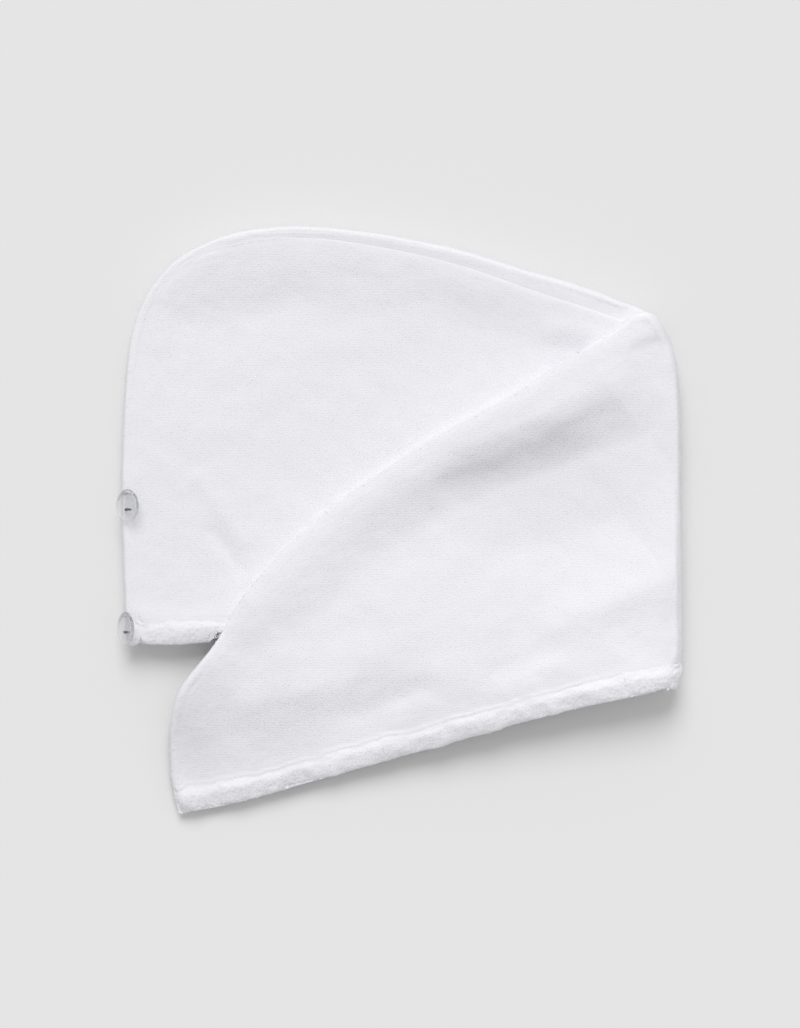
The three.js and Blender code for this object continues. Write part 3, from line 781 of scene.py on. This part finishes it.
def mark_painted_shading(mesh):
    """Writes into a point attribute the painted light and shade of the terry: above 0 its colour is paler,
    below 0 darker, and the tail's upper layers are painted paler.
    """
    places = points_of(mesh)
    over_hood = eased(places[:, 1] / MM + 76)
    tail_bottom = (11 + 8 * over_hood) * MM
    on_tail = eased((places[:, 2] - tail_bottom) / (3 * MM)) * bpy.context.scene.turban_cloth.tail_painted_light
    layer = mesh.attributes.new("nap", "FLOAT", "POINT")
    layer.data.foreach_set("value", (on_tail + bank_lift(PAINTED_SHADING_PATCHES, places) / MM).astype(np.float32))


def grain_mesh(name, width, height, root):
    """One tuft of the pile: a low soft knob, sunk into the cloth by its root."""
    shape = bmesh.new()
    bmesh.ops.create_cone(
        shape, cap_ends=True, segments=5, radius1=width / 2, radius2=0, depth=height + root)
    bmesh.ops.remove_doubles(shape, verts=shape.verts, dist=0.001 * MM)
    bmesh.ops.translate(shape, verts=shape.verts, vec=(0, 0, (height - root) / 2))
    shape.normal_update()
    for edge in shape.edges:
        edge.smooth = all(face.normal.z > -0.5 for face in edge.link_faces)
    mesh = bpy.data.meshes.new(name)
    shape.to_mesh(mesh)
    shape.free()
    smooth(mesh)
    return mesh


def pile_group(grain, spacing, seed, lean):
    """Geometry nodes that stand loops on a cloth wherever its attribute pile is open."""
    group = bpy.data.node_groups.new("terry_pile", "GeometryNodeTree")
    group.interface.new_socket("Geometry", in_out="INPUT", socket_type="NodeSocketGeometry")
    group.interface.new_socket("Geometry", in_out="OUTPUT", socket_type="NodeSocketGeometry")
    tree = Tree(group)
    cloth = tree.node("NodeGroupInput")
    open_share = tree.node("GeometryNodeInputNamedAttribute", {"data_type": "FLOAT"}, {"Name": "pile"})
    scatter = tree.node(
        "GeometryNodeDistributePointsOnFaces", {"distribute_method": "POISSON"},
        {"Mesh": cloth, "Distance Min": spacing, "Density Max": 0.9 / spacing ** 2,
         "Density Factor": open_share * 1.5 - 0.5, "Seed": seed})
    standing = Wire(tree, scatter.socket.node.outputs["Rotation"])
    turn = tree.node(
        "FunctionNodeRandomValue", {"data_type": "FLOAT_VECTOR"},
        {0: (-lean, -lean, -math.pi), 1: (lean, lean, math.pi), "Seed": seed + 1})
    turned = tree.node("FunctionNodeEulerToRotation", {}, {"Euler": turn})
    leaning = tree.node(
        "FunctionNodeRotateRotation", {"rotation_space": "LOCAL"},
        {"Rotation": standing, "Rotate By": turned})
    sizes = tree.node(
        "FunctionNodeRandomValue", {"data_type": "FLOAT_VECTOR"},
        {0: (0.7, 0.7, 0.7), 1: (1.25, 1.25, 1.3), "Seed": seed + 2})
    loop = tree.node("GeometryNodeObjectInfo", {}, {"Object": grain, "As Instance": True}, "Geometry")
    placed = tree.node(
        "GeometryNodeInstanceOnPoints", {},
        {"Points": scatter, "Instance": loop, "Rotation": leaning, "Scale": sizes})
    made = tree.node("GeometryNodeRealizeInstances", {}, {"Geometry": placed})
    tree.node("NodeGroupOutput", {}, {"Geometry": made})
    return group


def pile_piece(name, cloth_object, size, spacing, seed, lean):
    """The standing loops of a cloth piece, as one joined mesh."""
    grain = bpy.data.objects.new(f"{name}_grain", grain_mesh(f"{name}_grain", *size))
    piece = link(name, cloth_object.data.copy())
    standing = piece.modifiers.new("pile", "NODES")
    standing.node_group = pile_group(grain, spacing, seed, lean)
    settle(piece)
    smooth(piece.data)
    bpy.data.objects.remove(grain)
    return piece


def corners_of(node):
    return np.array([vert.co[:] for vert in frame["nodes"][node].data.vertices])


def button_pose(node):
    """Where a button stands: its shape is modelled with its back at zero along Z and its holes along Y."""
    corners = corners_of(node)
    middle = (corners.min(axis=0) + corners.max(axis=0)) / 2
    axis = Vector(np.linalg.eigh(np.cov((corners - middle).T))[1][:, 0])
    if axis.z < 0:
        axis.negate()
    thread = corners_of(f"{node}_thread")
    along = Vector(np.linalg.eigh(np.cov((thread - thread.mean(axis=0)).T))[1][:, 2])
    side = (along - axis * along.dot(axis)).normalized()
    across = side.cross(axis).normalized()
    back = ((corners - middle) @ np.array(axis)).min()
    turn = Matrix((across, side, axis)).transposed().to_4x4()
    return Matrix.Translation(Vector(middle) + axis * back) @ turn


def hole_line(node, buttons):
    """Where the line of the holes lies on a button's face: off its middle, towards the opening."""
    return -math.copysign(buttons.hole_shift, button_pose(node).col[0].y)


# Half of a button's outline, from the middle of its back round the rim to the middle of its face, in mm
BUTTON_PROFILE = [
    (0.0, 0.0), (8.4, 0.0), (9.2, 0.15), (9.8, 0.6), (10.0, 1.25), (9.8, 2.0), (9.2, 2.5), (8.5, 2.6),
    (7.9, 2.4), (7.5, 1.95), (7.0, 1.7), (6.0, 1.55), (0.0, 1.5),
]


def button_piece(name, node, buttons):
    """A round resin button: a spun dish with a raised rim, and two drilled holes."""
    shape = bmesh.new()
    ring = [shape.verts.new((x * MM, 0, z * MM)) for x, z in BUTTON_PROFILE]
    edges = [shape.edges.new(pair) for pair in zip(ring, ring[1:])]
    bmesh.ops.spin(
        shape, geom=ring + edges, cent=(0, 0, 0), axis=(0, 0, 1), angle=2 * math.pi, steps=64, use_merge=True)
    bmesh.ops.remove_doubles(shape, verts=shape.verts, dist=0.01 * MM)
    bmesh.ops.recalc_face_normals(shape, faces=shape.faces)
    mesh = bpy.data.meshes.new(name)
    shape.to_mesh(mesh)
    shape.free()
    piece = link(name, mesh)
    drill = bmesh.new()
    for side in (-1, 1):
        place = Matrix.Translation((hole_line(node, buttons), side * buttons.hole_spacing / 2, 0))
        bmesh.ops.create_cone(
            drill, cap_ends=True, segments=24, radius1=buttons.hole / 2, radius2=buttons.hole / 2,
            depth=20 * MM, matrix=place)
    drill_mesh = bpy.data.meshes.new("drill")
    drill.to_mesh(drill_mesh)
    drill.free()
    driller = link("drill", drill_mesh)
    holes = piece.modifiers.new("holes", "BOOLEAN")
    holes.operation = "DIFFERENCE"
    holes.solver = "EXACT"
    holes.object = driller
    softening = piece.modifiers.new("softening", "BEVEL")
    softening.width = 0.18 * MM
    softening.segments = 2
    softening.limit_method = "ANGLE"
    softening.angle_limit = math.radians(55)
    settle(piece)
    bpy.data.objects.remove(driller)
    pose = button_pose(node)
    local = points_of(piece.data) / MM
    to_right = local[:, 1] * math.copysign(1, pose.col[1].x)
    to_top = local[:, 0] * math.copysign(1, pose.col[0].y)
    level = np.stack((to_right, to_top, np.zeros(len(local))), axis=1)
    face = piece.data.attributes.new("face", "FLOAT_VECTOR", "POINT")
    face.data.foreach_set("vector", level.astype(np.float32).ravel())
    piece.data.transform(pose)
    smooth(piece.data)
    return piece


def thread_piece(name, node, buttons):
    """Strands of thread that cross the button's face between its two holes."""
    half = buttons.hole_spacing / 2
    line = hole_line(node, buttons)
    web = 1.5 * MM
    curve = bpy.data.curves.new(name, "CURVE")
    curve.dimensions = "3D"
    curve.bevel_depth = 0.2 * MM
    curve.bevel_resolution = 3
    for strand in range(5):
        aside = (strand - 2) * 0.26 * MM
        lift = web + (0.32 + 0.12 * (strand % 2)) * MM
        route = [
            (aside * 0.7, -half, -0.1 * MM),
            (aside * 0.7, -half, web * 0.7),
            (aside, -half * 0.72, lift),
            (aside * 1.15, 0, lift + 0.12 * MM),
            (aside, half * 0.72, lift),
            (aside * 0.7, half, web * 0.7),
            (aside * 0.7, half, -0.1 * MM),
        ]
        spline = curve.splines.new("NURBS")
        spline.points.add(len(route) - 1)
        for point, place in zip(spline.points, route):
            point.co = (place[0] + line, place[1], place[2], 1)
        spline.use_endpoint_u = True
        spline.order_u = 3
        spline.resolution_u = 5
    curve.use_fill_caps = True
    holder = bpy.data.objects.new(f"{name}_route", curve)
    bpy.context.scene.collection.objects.link(holder)
    graph = bpy.context.evaluated_depsgraph_get()
    mesh = bpy.data.meshes.new_from_object(holder.evaluated_get(graph))
    bpy.data.objects.remove(holder)
    mesh.name = name
    mesh.transform(button_pose(node))
    smooth(mesh)
    return link(name, mesh)


def settings():
    return bpy.context.scene.turban_cloth, bpy.context.scene.turban_buttons, bpy.context.scene.turban_stage


class TURBAN_OT_stage(bpy.types.Operator):
    """Sets the plain floor, the soft light from the top of the picture and the camera straight above"""

    bl_idname = "turban.stage"
    bl_label = "Set the stage"

    def execute(self, context):
        _cloth, _buttons, stage = settings()
        shape = bmesh.new()
        bmesh.ops.create_grid(shape, x_segments=1, y_segments=1, size=4.0)
        mesh = bpy.data.meshes.new("floor")
        shape.to_mesh(mesh)
        shape.free()
        floor = link("floor", mesh)
        mesh.materials.append(floor_material(stage))
        self.light(stage)
        self.camera(stage)
        return {"FINISHED"}

    def light(self, stage):
        """One broad key and an even sky, that together light the level floor to its own colour."""
        sun = bpy.data.lights.new("soft_key", "SUN")
        sun.energy = stage.key_share * math.pi / math.sin(stage.key_height)
        sun.angle = stage.key_size
        key = bpy.data.objects.new("soft_key", sun)
        key.rotation_euler = (stage.key_height - math.pi / 2, 0, stage.key_side)
        bpy.context.scene.collection.objects.link(key)
        world = bpy.data.worlds.new("even_sky")
        world.use_nodes = True
        sky = world.node_tree.nodes["Background"]
        sky.inputs["Color"].default_value = (1.0, 1.0, 1.0, 1)
        sky.inputs["Strength"].default_value = 1 - stage.key_share
        bpy.context.scene.world = world
        bpy.context.scene.view_settings.view_transform = "Standard"

    def camera(self, stage):
        """A long lens over the middle of the photograph."""
        lens = bpy.data.cameras.new("camera")
        photo_height = PHOTO_HEIGHT * stage.photo_scale
        lens.sensor_fit = "VERTICAL"
        lens.sensor_height = 24
        lens.lens = lens.sensor_height * stage.camera_height / photo_height
        camera = bpy.data.objects.new("camera", lens)
        camera.location = (*(HOOD_CORNER + PHOTO_MIDDLE), stage.camera_height)
        bpy.context.scene.collection.objects.link(camera)
        bpy.context.scene.camera = camera


class TURBAN_OT_panels(bpy.types.Operator):
    """Lays the two terry panels, folded over each other"""

    bl_idname = "turban.panels"
    bl_label = "Lay the panels"

    def execute(self, context):
        cloth, _buttons, _stage = settings()
        terry = terry_material("terry", cloth, 0.5 * MM, 0.35)
        front = cloth_piece(
            "front_terry", "front_panel", 2, hood_lift, HOOD_WRINKLES, cloth.lumps, FRONT_EDGE_RISE)
        back = cloth_piece("back_terry", "back_panel", 1, tail_lift, TAIL_WRINKLES, cloth.lumps, 0.0)
        for piece, node in ((front, "front_panel"), (back, "back_panel")):
            dress(piece, terry)
            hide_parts(node)
        return {"FINISHED"}


class TURBAN_OT_hems(bpy.types.Operator):
    """Turns the two fluffy hems along the open edges"""

    bl_idname = "turban.hems"
    bl_label = "Turn the hems"

    def execute(self, context):
        cloth, _buttons, _stage = settings()
        terry = terry_material("hem_terry", cloth, 0.7 * MM, 0.0)
        for side in ("front", "back"):
            piece = cloth_piece(
                f"{side}_hem_terry", f"{side}_hem", 3, tail_lift, [], cloth.hem_lumps, 0.0)
            dress(piece, terry)
            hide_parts(f"{side}_hem")
        names = ("front_terry", "back_terry", "front_hem_terry", "back_hem_terry")
        close_seams([bpy.data.objects[name] for name in names])
        return {"FINISHED"}


class TURBAN_OT_pile(bpy.types.Operator):
    """Stands the loops of the terry on every cloth that shows"""

    bl_idname = "turban.pile"
    bl_label = "Raise the pile"

    def execute(self, context):
        cloth, _buttons, _stage = settings()
        for number, side in enumerate(("front", "back")):
            panel = bpy.data.objects[f"{side}_terry"]
            hem = bpy.data.objects[f"{side}_hem_terry"]
            loops = pile_piece(
                f"{side}_pile", panel, (2.3 * MM, 0.3 * MM, 0.25 * MM), cloth.pile_spacing,
                cloth.seed + 10 * number, 0.12)
            dress(loops, panel.data.materials[0])
            hem_loops = pile_piece(
                f"{side}_hem_pile", hem, (1.9 * MM, 0.5 * MM, 0.4 * MM), cloth.hem_spacing,
                cloth.seed + 5 + 10 * number, 0.2)
            dress(hem_loops, hem.data.materials[0])
        return {"FINISHED"}


class TURBAN_OT_declare(bpy.types.Operator):
    """Does nothing: it gives no sizes for the sheets of cloth"""

    bl_idname = "turban.declare"
    bl_label = "Declare the sheets"

    def execute(self, context):
        return {"FINISHED"}


class TURBAN_OT_buttons(bpy.types.Operator):
    """Sews the two clear buttons on to the back edge"""

    bl_idname = "turban.buttons"
    bl_label = "Sew the buttons"

    def execute(self, context):
        _cloth, buttons, _stage = settings()
        resin = resin_material(buttons)
        sewing = thread_material(buttons)
        for node in ("upper_button", "lower_button"):
            button = button_piece(f"{node}_resin", node, buttons)
            dress(button, resin)
            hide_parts(node)
            thread = thread_piece(f"{node}_stitch", node, buttons)
            dress(thread, sewing)
            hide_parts(f"{node}_thread")
        return {"FINISHED"}


class TURBAN_OT_loop(bpy.types.Operator):
    """Rounds the elastic loop under the tail's tip"""

    bl_idname = "turban.loop"
    bl_label = "Round the loop"

    def execute(self, context):
        cloth, _buttons, _stage = settings()
        shape = node_bmesh("button_loop")
        mesh = bpy.data.meshes.new("elastic_loop")
        shape.to_mesh(mesh)
        shape.free()
        piece = link("elastic_loop", mesh)
        lift_cloth(mesh, droop(points_of(mesh)))
        rounding = piece.modifiers.new("rounding", "SUBSURF")
        rounding.levels = 2
        rounding.render_levels = 2
        settle(piece)
        smooth(piece.data)
        dress(piece, elastic_material(cloth))
        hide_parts("button_loop")
        return {"FINISHED"}


class TURBAN_PT_panel(bpy.types.Panel):
    """Lists the turban's pieces in the sidebar"""

    bl_label = "Hair turban"
    bl_idname = "TURBAN_PT_panel"
    bl_space_type = "VIEW_3D"
    bl_region_type = "UI"
    bl_category = "Turban"

    def draw(self, context):
        for operator in PIECES:
            self.layout.operator(operator.bl_idname)
        for group in ("turban_cloth", "turban_buttons", "turban_stage"):
            values = getattr(context.scene, group)
            for name in values.__annotations__:
                self.layout.prop(values, name)


PIECES = (
    TURBAN_OT_stage,
    TURBAN_OT_panels,
    TURBAN_OT_hems,
    TURBAN_OT_pile,
    TURBAN_OT_declare,
    TURBAN_OT_buttons,
    TURBAN_OT_loop,
)
GROUPS = {
    "turban_cloth": TurbanClothSettings,
    "turban_buttons": TurbanButtonSettings,
    "turban_stage": TurbanStageSettings,
}


def register():
    for name, group in GROUPS.items():
        bpy.utils.register_class(group)
        setattr(bpy.types.Scene, name, PointerProperty(type=group))
    for kind in (*PIECES, TURBAN_PT_panel):
        bpy.utils.register_class(kind)


def unregister():
    for kind in (TURBAN_PT_panel, *reversed(PIECES)):
        bpy.utils.unregister_class(kind)
    for name, group in GROUPS.items():
        delattr(bpy.types.Scene, name)
        bpy.utils.unregister_class(group)


def main():
    register()
    bpy.ops.turban.stage()
    bpy.ops.turban.panels()
    bpy.ops.turban.hems()
    bpy.ops.turban.pile()
    bpy.ops.turban.declare()
    bpy.ops.turban.buttons()
    bpy.ops.turban.loop()


if __name__ == "__main__":
    main()
